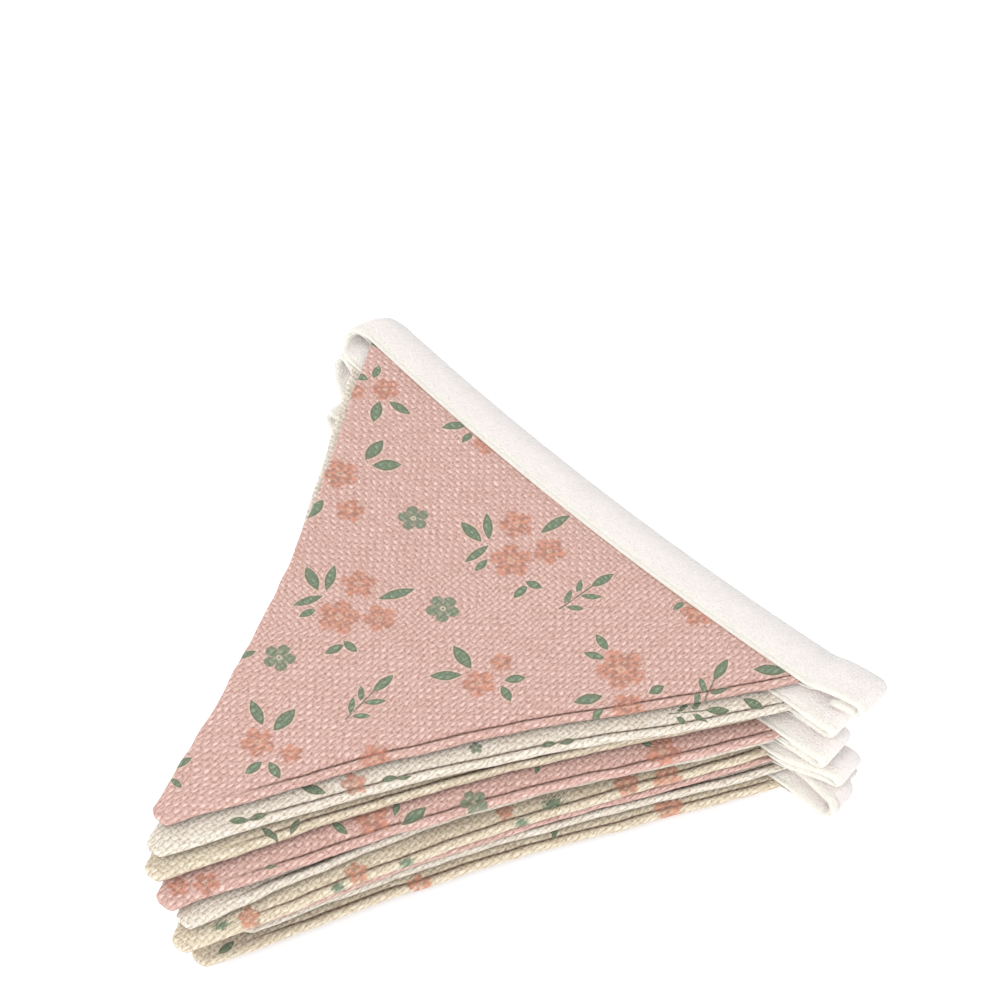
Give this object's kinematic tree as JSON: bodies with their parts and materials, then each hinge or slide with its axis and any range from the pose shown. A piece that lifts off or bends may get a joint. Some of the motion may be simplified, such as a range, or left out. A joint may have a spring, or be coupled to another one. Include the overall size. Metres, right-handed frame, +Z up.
{
  "type": "bunting",
  "caption": "Fabric bunting folded back and forth into a fan-like pile of triangular flags with a ditsy floral print, sewn into one soft tape folded over their top edges",
  "frame": {"origin": "centre of the folded pile's bounding box, on the surface it lies on", "axes": "+X along the top flag's tape, +Y from the flags' tips towards their tapes, +Z up through the layers"},
  "size_m": [0.2158, 0.1956, 0.0451],
  "materials": {
    "pink_cloth": "matt coarse plain weave in dusty pink with a ditsy floral print",
    "white_cloth": "matt coarse plain weave in off-white with a ditsy floral print",
    "cream_cloth": "matt coarse plain weave in cream with a ditsy floral print",
    "tape_cloth": "matt soft white cotton tape, finely ribbed across"
  },
  "bodies": {
    "root": {"flag_01": "pink_cloth", "flag_02": "white_cloth", "flag_03": "cream_cloth", "flag_04": "pink_cloth", "flag_05": "white_cloth", "flag_06": "cream_cloth", "flag_07": "pink_cloth", "flag_08": "white_cloth", "flag_09": "cream_cloth", "flag_10": "pink_cloth", "tape": "tape_cloth"}
  },
  "joints": []
}
